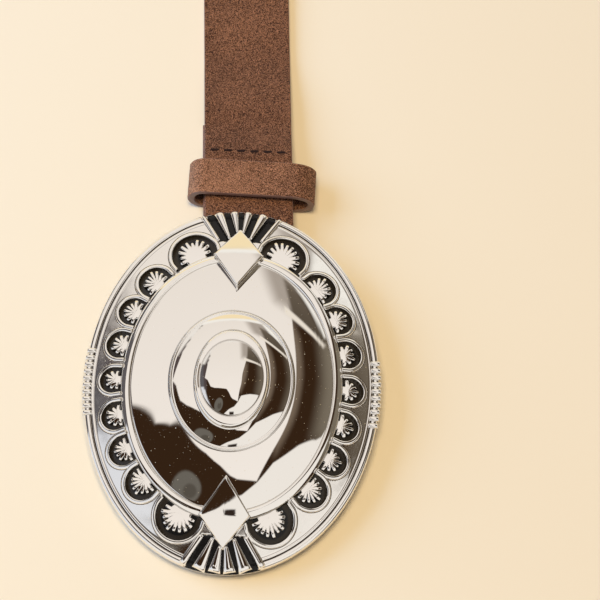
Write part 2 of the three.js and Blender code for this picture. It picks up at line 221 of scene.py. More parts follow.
def grid_faces(rows, columns, around, loop, offset=0):
    """Corner numbers of the quads of a grid; around joins the columns' ends, loop joins the rows' ends."""
    i = np.arange(rows if loop else rows - 1)[:, None]
    j = np.arange(columns if around else columns - 1)[None, :]
    i2, j2 = (i + 1) % rows, (j + 1) % columns
    quads = np.stack([i * columns + j, i * columns + j2, i2 * columns + j2, i2 * columns + j], -1)
    return quads.reshape(-1, 4) + offset


def skins(name, grids, materials, loop=False, smooth=True):
    """One mesh of several closed skins. Each grid of points is rows by columns by 3, closed around its columns.
    With loop its rows close too, otherwise each end row closes on its middle point."""
    vertices, quads, triangles, total = [], [], [], 0
    for grid in grids:
        rows, columns = grid.shape[:2]
        vertices.append(grid.reshape(-1, 3))
        quads.append(grid_faces(rows, columns, True, loop, total))
        if not loop:
            ends = grid[[0, -1]].mean(1)
            vertices.append(ends)
            j = np.arange(columns)
            k = (j + 1) % columns
            first, last = total + rows * columns, total + rows * columns + 1
            start = total + (rows - 1) * columns
            triangles.append(np.stack([np.full(columns, first), total + k, total + j], -1))
            triangles.append(np.stack([np.full(columns, last), start + j, start + k], -1))
        total += rows * columns + (0 if loop else 2)
    none = np.zeros((0, 3), int)
    return mesh_object(name, np.concatenate(vertices), (
        np.concatenate(quads), np.concatenate(triangles) if triangles else none), materials, smooth)


def mark(obj, name, values):
    """Stores one number for each point of a mesh."""
    made = obj.data.attributes.new(name, "FLOAT", "POINT")
    made.data.foreach_set("value", np.asarray(values, np.float32).ravel())


class Wire:
    """A value inside a material. Arithmetic on it adds Math nodes."""

    def __init__(self, tree, socket):
        self.tree = tree
        self.socket = socket

    def put(self, value, socket):
        if isinstance(value, Wire):
            self.tree.links.new(value.socket, socket)
        else:
            socket.default_value = value

    def node(self, kind, settings, sockets, output=0):
        """Any other node: its type, its settings, its sockets by name or number; gives one output."""
        made = self.tree.nodes.new(kind)
        for key, value in settings.items():
            setattr(made, key, value)
        for key, value in sockets.items():
            self.put(value, made.inputs[key])
        return Wire(self.tree, made.outputs[output])

    def math(self, operation, other=0.0, third=0.0, swap=False):
        pair = (other, self) if swap else (self, other)
        return self.node("ShaderNodeMath", {"operation": operation}, {0: pair[0], 1: pair[1], 2: third})

    def __add__(self, other):
        return self.math("ADD", other)

    def __sub__(self, other):
        return self.math("SUBTRACT", other)

    def __mul__(self, other):
        return self.math("MULTIPLY", other)

    def __truediv__(self, other):
        return self.math("DIVIDE", other)

    def __pow__(self, other):
        return self.math("POWER", other)

    def __rsub__(self, other):
        return self.math("SUBTRACT", other, swap=True)

    def __rtruediv__(self, other):
        return self.math("DIVIDE", other, swap=True)

    __radd__ = __add__
    __rmul__ = __mul__

    def between(self, low, high):
        """0 below low, 1 above high, eased."""
        return self.node("ShaderNodeMapRange", {"interpolation_type": "SMOOTHSTEP"},
                         {"Value": self, "From Min": low, "From Max": high})

    def mix(self, dark, light):
        """A colour from dark to light as this value goes from 0 to 1."""
        made = self.tree.nodes.new("ShaderNodeMix")
        made.data_type = "RGBA"
        self.put(self, made.inputs[0])
        self.put(dark, made.inputs[6])
        self.put(light, made.inputs[7])
        return Wire(self.tree, made.outputs[2])

    def noise(self, scale, detail=2.0, roughness=0.5):
        """Noise read at this place."""
        return self.node("ShaderNodeTexNoise", {}, {
            "Vector": self, "Scale": scale, "Detail": detail, "Roughness": roughness}, "Fac")


def material(name, make, **constants):
    """A Principled material. make gets the Object coordinates and gives what varies; constants are fixed values."""
    made = bpy.data.materials.new(name)
    made.use_nodes = True
    tree = made.node_tree
    shader = tree.nodes["Principled BSDF"]
    for key, value in constants.items():
        shader.inputs[key.replace("_", " ")].default_value = value
    place = Wire(tree, tree.nodes.new("ShaderNodeTexCoord").outputs["Object"])
    for key, value in (make(place) if make else {}).items():
        place.put(value, shader.inputs[key])
    return made


def screen_light(colour):
    """Screen colours, 0 to 255, as light values."""
    shade = np.asarray(colour, float) / 255
    return np.where(shade <= 0.04045, shade / 12.92, ((shade + 0.055) / 1.055) ** 2.4)


def rgb(red, green, blue):
    """A colour given as it looks on a screen, 0 to 255, as the light values materials need."""
    return (*map(float, screen_light((red, green, blue))), 1.0)


# Materials

CHROME = (0.90, 0.885, 0.865, 1.0)
ENAMEL = (0.004, 0.004, 0.005, 1.0)


def chrome_look(place):
    """Mirror metal with faint smears."""
    smear = place.noise(90.0, 3.0, 0.6).between(0.45, 0.75)
    return {"Roughness": 0.025 + smear * 0.03}


def plate_look(place):
    """Mirror metal, satin where marked, with painted shade in its creases and specks of dust, with black enamel where
    the mesh is marked and a painted sheen of paler enamel along the cups' walls.
    """
    def marked(name):
        return place.node("ShaderNodeAttribute", {"attribute_name": name}, {}, "Fac")
    black = marked("enamel")
    enamel = black.between(0.4, 0.6)
    # Painted sheen: the enamel is paler along the cups' walls, standing in for light mirrored in the glossy floor.
    painted_sheen = black.between(1.1, 1.5)
    crease_shade, satin = marked("crease_shade"), marked("satin")
    grain = place.noise(1800.0, 2.0, 0.5)
    speck = place.noise(2600.0, 1.0, 0.4).between(0.755, 0.775)
    smear = place.noise(90.0, 3.0, 0.6).between(0.45, 0.75)
    cloud = place.noise(140.0, 3.0, 0.6).between(0.35, 0.7)
    # Painted shade: the creases take a dark brown in place of the mirror and lose half their metal.
    metal = crease_shade.mix(speck.mix(CHROME, rgb(236, 226, 206)), rgb(58, 46, 38))
    return {
        "Base Color": enamel.mix(metal, painted_sheen.mix(ENAMEL, rgb(42, 39, 37))),
        "Metallic": (1.0 - enamel) * (1.0 - speck * 0.6) * (1.0 - crease_shade * 0.5),
        "Roughness": (1.0 - enamel) * (0.022 + smear * 0.02 + speck * 0.3 + satin * (0.05 + cloud * 0.13))
        + enamel * (0.14 + grain * 0.2),
    }


chrome = material("chrome", chrome_look, Base_Color=CHROME, Metallic=1.0)
plate_metal = material("chrome_and_enamel", plate_look, Specular_IOR_Level=0.3)
# Dark brown, half metal: painted shade for the crevice along the outside of each cup's lip.
painted_crease_shade = material("crease_shade", None, Base_Color=rgb(74, 62, 52), Metallic=0.6, Roughness=0.4)


def suede_look(dark, light):
    """Napped suede: fine two-tone fibre, slow patches where the nap lies another way, a rough bump."""
    def look(place):
        fibre = place.noise(4900.0, 2.0, 0.7)
        tuft = place.noise(1500.0, 2.0, 0.6)
        patch = place.noise(60.0, 3.0, 0.55)
        tone = (fibre * 0.94 + tuft * 0.16 + patch * 0.12 - 0.11).between(0.465, 0.56)
        bump = place.node("ShaderNodeBump", {}, {
            "Strength": 0.9, "Distance": 0.0005, "Height": fibre * 0.6 + tuft * 0.6}, "Normal")
        return {"Base Color": tone.mix(dark, light), "Normal": bump}
    return look


def edge_look(place):
    """Edge paint: smoother, purple brown, slightly uneven."""
    patch = place.noise(400.0, 2.0, 0.5)
    bump = place.node("ShaderNodeBump", {}, {"Strength": 0.3, "Distance": 0.0002, "Height": patch}, "Normal")
    return {"Base Color": patch.mix(rgb(122, 96, 95), rgb(152, 124, 120)), "Normal": bump}


SUEDE = {"Roughness": 0.95, "Sheen_Weight": 0.05, "Sheen_Roughness": 0.6}
suede = material("brown_suede", suede_look(rgb(46, 24, 17), rgb(170, 121, 93)), **SUEDE)
# The keeper's suede is the strap's suede painted lighter, for the light that falls on the raised keeper.
lit_suede = material("lit_suede", suede_look(rgb(58, 32, 22), rgb(202, 149, 118)), **SUEDE)
edge_paint = material("edge_paint", edge_look, Roughness=0.5)
thread = material("dark_thread", None, Base_Color=rgb(32, 19, 17), Roughness=0.8)


# Buckle

def ellipses(rows, columns):
    """Points of a table of ellipses: half width times cosine, half length times sine, and the height."""
    turn = np.linspace(0, 2 * math.pi, columns, endpoint=False)
    return np.stack([
        rows[:, :1] * np.cos(turn),
        rows[:, 1:2] * np.sin(turn),
        np.broadcast_to(rows[:, 2:], (len(rows), columns)),
    ], -1)


def cup_frames():
    """For each cup: its middle, radius, teeth, outward direction, distance back to the inner ring, and slope."""
    ring_width, ring_length = HALF_WIDTH * FACE[RING][0], HALF_LENGTH * FACE[RING][1]
    frames = []
    for width, length, size, teeth in CUPS:
        for left in (1, -1):
            for up in (1, -1) if length else (1,):
                x, y = left * width * HALF_WIDTH, up * length * HALF_LENGTH
                out = np.array([x / ring_width**2, y / ring_length**2])
                out /= np.hypot(*out)
                a = (out[0] / ring_width) ** 2 + (out[1] / ring_length) ** 2
                b = x * out[0] / ring_width**2 + y * out[1] / ring_length**2
                c = (x / ring_width) ** 2 + (y / ring_length) ** 2 - 1
                back = (b - math.sqrt(b * b - a * c)) / a
                height = face_height(x + out[0] * np.array([0.0, 2.5]), y + out[1] * np.array([0.0, 2.5]))
                frames.append({
                    "at": np.array([x, y, height[0]]), "radius": size * HALF_WIDTH, "teeth": teeth,
                    "out": out, "back": back, "slope": (height[1] - height[0]) / 2.5,
                })
    return frames


def in_cup(cup, points):
    """Points [across, outward, height over the border] of a cup put in the buckle's frame."""
    across, outward, height = np.moveaxis(points, -1, 0)
    side = np.array([-cup["out"][1], cup["out"][0]])
    return np.stack([
        cup["at"][0] + side[0] * across + cup["out"][0] * outward,
        cup["at"][1] + side[1] * across + cup["out"][1] * outward,
        cup["at"][2] + cup["slope"] * outward + height,
    ], -1)


def cup_outline(cup, count, grow=0.0):
    """Open outline of a cup from one foot on the ring round to the other: a half circle, then sides that close in
    slightly to CUP_FOOT at the ring. Gives points and their outward directions."""
    radius, back = cup["radius"], cup["back"]
    turn = np.linspace(-math.pi / 2, math.pi / 2, count)
    arc = np.stack([np.sin(turn), np.cos(turn)], -1)
    legs = np.linspace(0, 1, 8)[1:, None]
    left = (np.array([[-1.0, 0.0]]) + legs * np.array([[1 - CUP_FOOT, -back / radius]]))[::-1]
    right = left[::-1] * np.array([-1.0, 1.0])
    line = np.concatenate([left, arc, right]) * radius
    along = np.gradient(line, axis=0)
    away = np.stack([-along[:, 1], along[:, 0]], -1)
    away /= np.hypot(away[:, 0], away[:, 1])[:, None]
    return line + away * grow, away


CUP_FRAMES = cup_frames()


def in_outline(x, y, outline):
    """Whether points lie inside a closed outline, by counting crossings of its sides."""
    inside = np.zeros(x.shape, bool)
    for (x0, y0), (x1, y1) in zip(outline, np.roll(outline, -1, 0)):
        if y0 == y1:
            continue
        crosses = ((y0 > y) != (y1 > y)) & (x < (x1 - x0) * (y - y0) / (y1 - y0) + x0)
        inside ^= crosses
    return inside


# The fans: centre lines of their ribs as [inner x, inner y, outer x, outer y, half width in, half width out],
# the last of each side is the plain strip. Shares of half width and half length, widths in millimetres.
RIBS = [
    (0.020, 0.862, 0.052, 1.0, 0.40, 1.34),
    (0.070, 0.822, 0.158, 1.0, 0.40, 1.46),
    (0.146, 0.807, 0.268, 1.0, 0.62, 0.80),
]
# Upper and lower fan: its side, how round its ribs are, how wide.
FANS = [(1, 0.85, 0.88), (-1, 0.9, 1.2)]
RIB_LOW = 0.45
RIB_HIGH = 1.25
FAN_DEPTH = 0.9


def span(at):
    """The rows of the face from one ellipse of FACE to the next, their shares of the way, and the rise between them."""
    share = np.arange(FACE[at][5]) / FACE[at][5]
    rows = slice(FACE_STARTS[at], FACE_STARTS[at] + len(share))
    return rows, share[:, None], CROWN * (FACE[at + 1][2] - FACE[at][2])


def plate():
    """The cast plate: ellipses from the middle of the hollow back round the rim to the top of the dome. Inside the
    cups and the fans the face drops to their floors, which are black. The dish and the middle step bulge less, by a
    share of their rise times s (1 - s), on the left and below."""
    back = ellipses(spread(BACK)[:-1], COLUMNS)
    face = ellipses(FACE_ROWS, COLUMNS)
    x, y = face[..., 0], face[..., 1]
    low = np.zeros(x.shape)  # how far the face drops
    edge = np.zeros(x.shape)  # painted sheen of paler enamel near a cup's wall, above 1 in all
    ring = (x / (HALF_WIDTH * FACE[RING][0])) ** 2 + (y / (HALF_LENGTH * FACE[RING][1])) ** 2 > 1.0005
    for cup in CUP_FRAMES:
        line, _ = cup_outline(cup, 40, CUP_UNDER_LIP)
        foot = line[[-1, 0]] * [1, 0] + [0, -cup["back"] - 3]
        line = np.concatenate([line, foot])
        near = np.hypot(x - cup["at"][0], y - cup["at"][1]) < cup["radius"] * 2
        side = (x - cup["at"][0]) * -cup["out"][1] + (y - cup["at"][1]) * cup["out"][0]
        out = (x - cup["at"][0]) * cup["out"][0] + (y - cup["at"][1]) * cup["out"][1]
        hole = near & ring & in_outline(side, out, line)
        low[hole] = CUP_DEPTH
        wall, _ = cup_outline(cup, 40)
        gap = np.hypot(side[hole][:, None] - wall[:, 0], out[hole][:, None] - wall[:, 1]).min(1)
        edge[hole] = np.clip(1.5 - gap / ENAMEL_SHEEN, 0, 0.5)
    strip = RIBS[-1]
    run = (strip[2] - strip[0]) * HALF_WIDTH / ((strip[3] - strip[1]) * HALF_LENGTH)
    reach = strip[0] * HALF_WIDTH + (np.abs(y) - strip[1] * HALF_LENGTH) * run
    fan = (np.abs(x) < reach) & (np.abs(y) > strip[1] * HALF_LENGTH) & ring
    low[fan] = FAN_DEPTH
    turn = np.linspace(0, 2 * math.pi, COLUMNS, endpoint=False)
    rows, share, rise = span(DISH)
    left = np.clip(-np.cos(turn), 0, 1) ** 2
    face[rows, :, 2] -= rise * DISH_LEFT * left * share * (1 - share)
    rows, share, rise = span(MID)
    below = np.clip(np.cos(turn - MID_LOWEST), 0, 1)
    face[rows, :, 2] -= rise * MID_LOWER * below * share * (1 - share) + MID_SINK * below**2 * share
    face[..., 2] += corner_lift(np.arange(len(FACE_ROWS))[:, None], x, y) - low
    points = np.concatenate([back, face])
    piece = skins("concho_plate", [from_buckle(points)], [plate_metal])
    row = np.arange(len(FACE_ROWS))[:, None] + 0 * x
    satin = (row > FACE_STARTS[RING - 1]) & (row < FACE_STARTS[RING])
    # Painted shade: each crease's rows are marked with how dark they are.
    crease_shade = 0 * x
    for at, depth, width in CREASE_SHADES:
        crease_shade[np.abs(row - FACE_STARTS[at]) <= width] = depth
    for name, values in (("enamel", (low > 0) + edge), ("satin", satin), ("crease_shade", crease_shade)):
        values = np.concatenate([np.zeros(back.shape[:2]), values.astype(float)]).ravel()
        mark(piece, name, np.concatenate([values, [0, 0]]))
    return piece


def lips():
    """Rounded lip round each cup: a low arch of LIP_WIDTH carried along the cup's outline, with a narrow band of
    painted shade along its outside."""
    turn = np.linspace(0, math.pi, 11)
    top = np.stack([0.5 - 0.5 * np.cos(turn), np.sin(turn) ** 0.6], -1)
    skirt = [[1.0, 0.05], [1.17, 0.04], [1.17, -1.4]]
    profile = np.concatenate([[[0.0, -CUP_DEPTH / LIP_HEIGHT - 0.6]], top[:-1], skirt])
    grids = []
    for cup in CUP_FRAMES:
        line, away = cup_outline(cup, 56)
        points = np.zeros((len(line), len(profile), 3))
        points[..., :2] = line[:, None] + away[:, None] * profile[None, :, :1] * LIP_WIDTH
        points[..., 2] = profile[:, 1] * LIP_HEIGHT
        grids.append(from_buckle(in_cup(cup, points)))
    piece = skins("cup_lips", grids, [chrome, painted_crease_shade])
    columns = len(profile)
    # Painted shade: the third last column of faces takes the dark crease material.
    dark = np.zeros((len(line) - 1, columns), np.int32)
    dark[:, columns - 3] = 1
    index = np.zeros(len(piece.data.polygons), np.int32)
    index[:dark.size * len(grids)] = np.tile(dark.ravel(), len(grids))
    piece.data.polygons.foreach_set("material_index", index)
    return piece


# The suns, as shares of the cup's radius, and what changes towards the belt's sides.
SUN_TIP = 0.75
SUN_ROOT = 0.55
SUN_LONGER = 0.26
SUN_DEEPER = 0.07
SUN_SINK = 0.36
SUN_NARROW = 0.2
SUN_REACH = math.radians(104)
SUN_LEVEL = 0.55  # how much of the border's slope the suns do without


def suns():
    """Half sun in each cup: round-ended rays, its flat side on the inner ring. The reach of the outline is the tip's
    less an eased notch between two rays, and the outline then shrinks to the middle in steps while it rises. The suns
    at the sides sit nearer the ring and reach further."""
    grids = []
    for cup in CUP_FRAMES:
        radius, teeth = cup["radius"], cup["teeth"]
        sideways = 1 - cup["out"][1] ** 2
        tip = radius * (SUN_TIP + SUN_LONGER * sideways)
        root = radius * (SUN_ROOT - SUN_DEEPER * sideways)
        turn = np.linspace(-SUN_REACH, SUN_REACH, teeth * 18 + 1)
        place = (turn + SUN_REACH) / (2 * SUN_REACH) * teeth
        wave = np.abs(place % 1 - 0.5) * 2
        uneven = rng.normal(1.0, 0.07, teeth + 1)[np.minimum(place.astype(int), teeth)]
        notch = np.clip((wave - 0.38) / 0.44, 0, 1)
        reach = tip * uneven - (tip * uneven - root) * notch * notch * (3 - 2 * notch) - 0.16 * wave**2
        line = np.stack([np.sin(turn) * reach * (1 - SUN_NARROW * sideways),
                         np.cos(turn) * reach - SUN_SINK * radius * sideways], -1)
        floor_at = -cup["back"] - 0.25
        foot = np.linspace([line[-1, 0], floor_at], [line[0, 0], floor_at], 24)
        line[:, 1] = np.maximum(line[:, 1], floor_at)
        line = np.concatenate([line, foot])
        smooth = np.minimum(np.hypot(line[:, 0], line[:, 1]), root * 0.93)
        round_line = line / np.hypot(line[:, 0], line[:, 1])[:, None] * smooth[:, None]
        inward = line / np.hypot(line[:, 0], line[:, 1])[:, None]
        rows = [line, line, line - inward * 0.05, line - inward * 0.13, round_line]
        level = SUN_LEVEL + (1 - SUN_LEVEL) * abs(cup["out"][1])
        middle = np.array([0.0, -0.15 * radius])
        rows += [middle + (round_line - middle) * share for share in (0.85, 0.65, 0.4, 0.2, 0.05)]
        height = np.array([-1.3, -0.5, -0.12, 0.0, 0.06, 0.1, 0.16, 0.21, 0.23, 0.24])
        points = np.zeros((len(rows), len(line), 3))
        points[..., :2] = np.array(rows)
        points[..., 2] = height[:, None] - cup["slope"] * level * points[..., 1]
        grids.append(from_buckle(in_cup(cup, points)))
    return skins("half_suns", grids, [chrome])


DIAMOND = {"outer": 0.886, "inner": 0.514, "broad": 0.711, "half": 0.174,
           "outer_rise": 0.3, "broad_rise": 1.9, "top_rise": 1.3, "bottom_rise": 1.9, "bend": 2.4}


def diamonds():
    """Kites across the inner ring: two slopes that meet softly at the broad line, a little domed across, with a
    narrow bevel and steep sides all round."""
    d = DIAMOND
    outer, inner, broad = (d[key] * HALF_LENGTH for key in ("outer", "inner", "broad"))
    half = d["half"] * HALF_WIDTH
    corners = np.array([[half, broad], [0, outer], [-half, broad], [0, inner]])
    share = np.linspace(0, 1, 24, endpoint=False)[:, None]
    line = np.concatenate([a + (b - a) * share for a, b in zip(corners, np.roll(corners, -1, 0))])
    crest = float(face_height(half, broad)) + d["broad_rise"]
    tip = float(face_height(0.0, outer)) + d["outer_rise"]
    steps = np.array([1.0, 1.0, 0.985, 0.96, 0.93, 0.915, 0.85, 0.7, 0.5, 0.3, 0.1, 0.02])
    drop = np.array([-3.2, -0.75, -0.5, -0.22, -0.04, 0.0, 0.0, 0.0, 0.0, 0.0, 0.0, 0.0])
    middle = np.array([0.0, broad])
    flat = middle + (line[None] - middle) * steps[:, None, None]
    away = flat[..., 1] - broad
    soft = np.sqrt(away**2 + d["bend"] ** 2) - d["bend"]
    grids = []
    for up, rise in ((1, d["top_rise"]), (-1, d["bottom_rise"])):
        foot = float(face_height(0.0, inner)) + rise
        slope_out, slope_in = (tip - crest) / (outer - broad), (foot - crest) / (inner - broad)
        height = crest + (slope_out - slope_in) / 2 * soft + (slope_out + slope_in) / 2 * away
        height += 0.5 * (1 - (flat[..., 0] / half) ** 2) + drop[:, None]
        grids.append(from_buckle(np.stack([flat[..., 0], up * flat[..., 1], height], -1)))
    return skins("diamonds", grids, [chrome])


def ribs():
    """Ribs of the two fans and the strip at each side: a rounded ridge that widens towards the rim and turns down
    over it."""
    turn = np.linspace(0, math.pi, 15)
    share = np.concatenate([np.linspace(0, 0.97, 12), [0.985, 0.997, 1.0]])
    lift = np.concatenate([np.full(12, 1.0), [0.9, 0.6, 0.1]])
    grids = []
    for up, round_top, slim in FANS:
        top = np.stack([-np.cos(turn), np.sin(turn) ** round_top], -1)
        profile = np.concatenate([[[-1.0, -1.2]], top, [[1.0, -1.2]]])
        for left in (1, -1):
            for inner_x, inner_y, outer_x, outer_y, half_in, half_out in RIBS:
                start = np.array([left * inner_x * HALF_WIDTH, up * inner_y * HALF_LENGTH])
                end_x = left * outer_x * HALF_WIDTH
                edge = HALF_LENGTH * math.sqrt(1 - outer_x**2)
                end = np.array([end_x, up * (edge * outer_y - 0.25)])
                along = (end - start) / np.hypot(*(end - start))
                side = np.array([-along[1], along[0]])
                line = start + (end - start) * share[:, None]
                half = (half_in + (half_out - half_in) * share) * slim
                base = face_height(line[:, 0] * 0.97, line[:, 1] * 0.97)
                points = np.zeros((len(share), len(profile), 3))
                points[..., :2] = line[:, None] + side * (half[:, None] * profile[:, 0])[..., None]
                high = (RIB_LOW + (RIB_HIGH - RIB_LOW) * share)[:, None]
                ridge = np.where(profile[:, 1] > 0, profile[:, 1] * high, profile[:, 1])
                points[..., 2] = base[:, None] - 0.35 + ridge * lift[:, None]
                grids.append(from_buckle(points))
    return skins("fan_ribs", grids, [chrome])


REEDS = {"count": 10, "pitch": 1.75, "radius": 0.62, "inner": 0.945, "proud": 0.35}


def reeding():
    """Short round bars across the rim at both sides, bent down over its edge."""
    grids = []
    turn = np.linspace(0, 2 * math.pi, 14, endpoint=False)
    share = np.array([0.0, 0.04, 0.2, 0.45, 0.7, 0.86, 0.95, 0.99, 1.0, 1.0])
    fall = np.array([-0.5, 0.0, 0.05, 0.08, 0.05, -0.05, -0.2, -0.5, -0.9, -1.8])
    size = np.array([0.3, 0.85, 1.0, 1.0, 1.0, 1.0, 1.0, 1.0, 1.0, 0.8])
    for left in (1, -1):
        for i in range(REEDS["count"]):
            y = (i - (REEDS["count"] - 1) / 2) * REEDS["pitch"]
            edge = HALF_WIDTH * math.sqrt(1 - (y / HALF_LENGTH) ** 2)
            x = edge - HALF_WIDTH * (1 - REEDS["inner"]) * (1 - share) + REEDS["proud"] * share
            points = np.zeros((len(share), len(turn), 3))
            points[..., 0] = left * x[:, None]
            points[..., 1] = y + REEDS["radius"] * size[:, None] * np.cos(turn)
            points[..., 2] = (fall[:, None] + 0.1) + 0.42 * size[:, None] * np.sin(turn)
            grids.append(from_buckle(points))
    return skins("rim_reeding", grids, [chrome])


def back_hardware():
    """The bar for the strap on its two posts, and the hook, behind the buckle: plain round rods and a flat prong."""
    def over_table(y, height):
        return (height - RIM_HEIGHT - y * math.sin(TILT)) / math.cos(TILT)

    def rod(path, radius, across=None):
        path = np.asarray(path, float)
        turn = np.linspace(0, 2 * math.pi, 20, endpoint=False)
        first = np.array([0.0, 1.0, 0.0]) if across is None else np.array(across, float)
        along = path[-1] - path[0]
        second = np.cross(along / np.linalg.norm(along), first)
        ring = np.cos(turn)[:, None] * first + np.sin(turn)[:, None] * second
        return path[:, None] + ring[None] * radius

    bar_y, bar_z = 34.2, over_table(34.2, FOLD_HEIGHT)
    grids = [rod([[-16.6, bar_y, bar_z], [16.6, bar_y, bar_z]], 1.1)]
    for left in (-1, 1):
        grids.append(rod([[left * 15.8, bar_y, bar_z - 1.1], [left * 15.8, bar_y, -0.4]], 1.2))
    hook_y = -31.0
    low = over_table(hook_y - 1.6, 0.05)
    grids.append(rod([[0, hook_y, low + 0.1], [0, hook_y, 1.2]], 1.6))
    outline = np.array([[-1.6, -1.6], [1.6, -1.6], [2.3, 0.4], [2.3, 4.5], [1.4, 6.5], [-1.4, 6.5], [-2.3, 4.5],
                        [-2.3, 0.4]]) + [0, hook_y]
    prong = np.zeros((2, len(outline), 3))
    prong[..., :2] = outline
    prong[..., 2] = np.array([low, low + 1.8])[:, None]
    return skins("bar_and_hook", [from_buckle(g) for g in grids], [chrome]), skins(
        "hook_prong", [from_buckle(prong)], [chrome], smooth=False)


# Strap and keeper

BAR_RADIUS = 1.1
FOLD_RADIUS = BAR_RADIUS + CLEARANCE + LEATHER / 2
FOLD_HEIGHT = FOLD_RADIUS + LEATHER / 2 + CLEARANCE
FOLD_AT = 33.1
FOLDED_END = 74.0
FLAT_FROM = 97.0
LEVEL_TO = 61.2
ON_TABLE = LEATHER / 2
KEEPER_FLOOR = 1.8 + CLEARANCE + 0.2
LAYER_STEP = LEATHER + CLEARANCE
UNDER_LAYER = [(FOLD_AT, FOLD_HEIGHT - FOLD_RADIUS), (FOLD_AT + 15, KEEPER_FLOOR + ON_TABLE),
               (LEVEL_TO, KEEPER_FLOOR + ON_TABLE), (FOLDED_END, ON_TABLE)]
UPPER_LAYER = [(FOLD_AT, FOLD_HEIGHT + FOLD_RADIUS), (FOLD_AT + 7.5, KEEPER_FLOOR + ON_TABLE + LAYER_STEP),
               (LEVEL_TO, KEEPER_FLOOR + ON_TABLE + LAYER_STEP), (FOLDED_END, ON_TABLE + LAYER_STEP),
               (FLAT_FROM, ON_TABLE)]


def eased(rows, at):
    """A table of [place, value] read with eased steps between its rows."""
    place, value = np.array(rows).T
    i = np.clip(np.searchsorted(place, at) - 1, 0, len(place) - 2)
    s = np.clip((at - place[i]) / (place[i + 1] - place[i]), 0, 1)
    return value[i] + (value[i + 1] - value[i]) * s * s * (3 - 2 * s)


def soft_noise(points, scale):
    """Smooth noise for small unevenness: a sum of sines along fixed random directions, from -1 to 1."""
    directions = rng.normal(size=(9, 3))
    directions /= np.linalg.norm(directions, axis=1)[:, None]
    phase = rng.uniform(0, 2 * math.pi, 9)
    waves = np.sin(points @ directions.T * (2 * math.pi / scale) * rng.uniform(0.7, 1.5, 9) + phase)
    return waves.sum(-1) / 4


EDGE_ROUND = 0.42  # radius of a cut edge's corners


def band_section(half_width, half_thick, r, flat_columns, round_columns):
    """Section of a flat band as [across, outward] points round it, its four corners quarter circles of radius r; also
    which points lie on the cut edges."""
    turn = np.linspace(0, math.pi / 2, round_columns)
    corner = np.stack([np.sin(turn), np.cos(turn)], -1) * r
    flat = np.linspace(-(half_width - r), half_width - r, flat_columns)[:, None]
    top = np.concatenate([flat, np.full_like(flat, half_thick)], 1)
    right_top = corner + [half_width - r, half_thick - r]
    right = np.concatenate([top, right_top[1:]])
    lower = right * [1, -1]
    outline = np.concatenate([right, lower[::-1]])
    left = (corner * [-1, 1] + [-(half_width - r), half_thick - r])[1:]
    outline = np.concatenate([outline, (left * [1, -1]), left[::-1]])
    edge = np.abs(outline[:, 0]) > half_width - 0.55 * r
    return outline, edge


def band(name, at, along, side, half, thickness, look, loop=False, columns=70, rough=0.05):
    """A flat leather band: a rounded rectangle carried along points, its width along side, its thickness along
    side x along. Its edges are painted, the rest is suede."""
    section, edge = band_section(half.max(), thickness / 2, EDGE_ROUND, columns, 5)
    outward = np.cross(side, along)
    outward /= np.linalg.norm(outward, axis=1)[:, None]
    shrink = (half / half.max())[:, None]
    points = at[:, None] + side[:, None] * (section[:, 0] * shrink)[..., None]
    points = points + outward[:, None] * section[None, :, 1:]
    fuzz = soft_noise(points, 1.1) * rough + soft_noise(points, 6.0) * rough * 0.8
    points = points + outward[:, None] * (fuzz * ~edge)[..., None] * np.sign(section[None, :, 1:])
    piece = skins(name, [from_belt(points)], [look, edge_paint], loop=loop)
    rows, columns = points.shape[:2]
    faces = np.zeros(len(piece.data.polygons), np.int32)
    painted = edge & np.roll(edge, -1)
    count = (rows if loop else rows - 1) * columns
    faces[:count] = np.tile(painted.astype(np.int32), rows if loop else rows - 1)
    piece.data.polygons.foreach_set("material_index", faces)
    return piece


def strap():
    """The strap: up from its folded end, round the bar, along through the keeper and on to its rounded tip."""
    under_y = np.arange(FOLDED_END, FOLD_AT, -0.5)
    under = np.stack([np.full(len(under_y), UNDER_SHIFT), under_y, eased(UNDER_LAYER, under_y)], -1)
    turn = np.radians(np.linspace(-90, 90, 26)[1:-1])
    fold = np.stack([UNDER_SHIFT * (0.5 - turn / math.pi), FOLD_AT - FOLD_RADIUS * np.cos(turn),
                     FOLD_HEIGHT + FOLD_RADIUS * np.sin(turn)], -1)
    over_y = np.concatenate([np.arange(FOLD_AT, 40, 0.6), np.arange(40, 122, 0.38), np.arange(122, 200, 1.5),
                             np.arange(200, 945, 6.0)])
    over = np.stack([np.zeros(len(over_y)), over_y, eased(UPPER_LAYER, over_y)], -1)
    tip_round = 12.3
    share = np.sin(np.linspace(0, math.pi / 2, 24))
    tip_y = STRAP_REACH - tip_round + tip_round * share
    tip = np.stack([np.zeros(len(tip_y)), tip_y, np.full(len(tip_y), ON_TABLE)], -1)
    at = np.concatenate([under, fold, over, tip]) + [STRAP_CENTRE, 0, 0]
    along = np.gradient(at, axis=0)
    along[:, 0] = 0
    along /= np.linalg.norm(along, axis=1)[:, None]
    half = np.full(len(at), STRAP_WIDTH / 2)
    half[-len(share):] *= np.maximum(1 - share**2.6, 0.0005) ** 0.5
    side = np.tile([1.0, 0.0, 0.0], (len(at), 1))
    return band("suede_strap", at, along, side, half, LEATHER, suede)


HOLES = {"count": 5, "pitch": 25.4, "from_tip": 70.0, "radius": 1.9}


